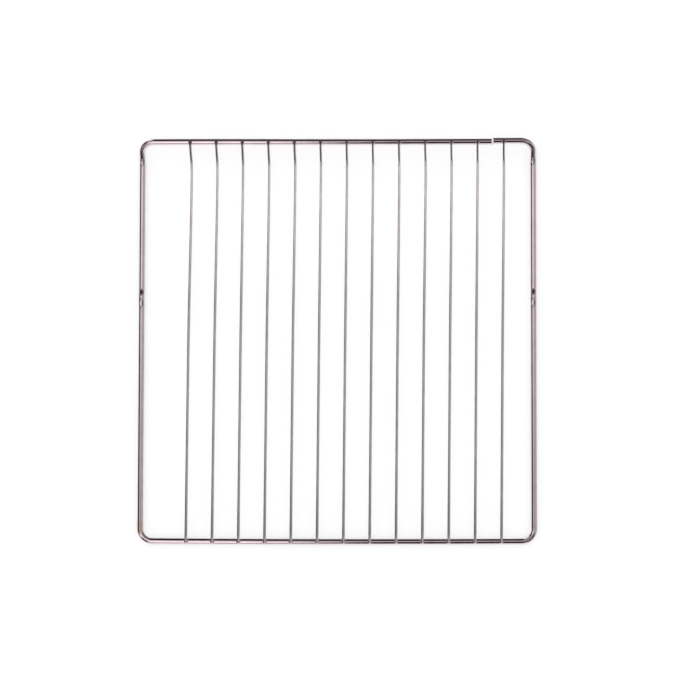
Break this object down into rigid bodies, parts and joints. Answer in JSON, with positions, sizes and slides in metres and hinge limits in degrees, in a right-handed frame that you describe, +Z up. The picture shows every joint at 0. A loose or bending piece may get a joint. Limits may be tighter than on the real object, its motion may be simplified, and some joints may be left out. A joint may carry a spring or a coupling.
{
  "type": "wire cooling rack",
  "caption": "Rectangular chrome-plated wire cooling rack: a closed frame wire with round corners, thinner parallel cross wires, a turned-up rear edge and a low hump on each side rail.",
  "frame": {"origin": "middle of the rack in plan, on the surface it stands on: the underside of the frame wire is at z = 0", "axes": "+X to the right, +Y to the turned-up rear edge, +Z up"},
  "size_m": [0.391, 0.3992, 0.0224],
  "materials": {
    "frame_chrome": "bright chrome plate on drawn steel wire",
    "wire_chrome": "bright chrome plate on drawn steel wire",
    "weld_metal": "plated weld metal, slightly rougher than the wire"
  },
  "bodies": {
    "root": {"frame": "frame_chrome", "frame_butt_weld": "weld_metal", "wire_01": "wire_chrome", "wire_02": "wire_chrome", "wire_03": "wire_chrome", "wire_04": "wire_chrome", "wire_05": "wire_chrome", "wire_06": "wire_chrome", "wire_07": "wire_chrome", "wire_08": "wire_chrome", "wire_09": "wire_chrome", "wire_10": "wire_chrome", "wire_11": "wire_chrome", "wire_12": "wire_chrome", "wire_13": "wire_chrome", "front_welds": "weld_metal", "rear_welds": "weld_metal"}
  },
  "joints": []
}
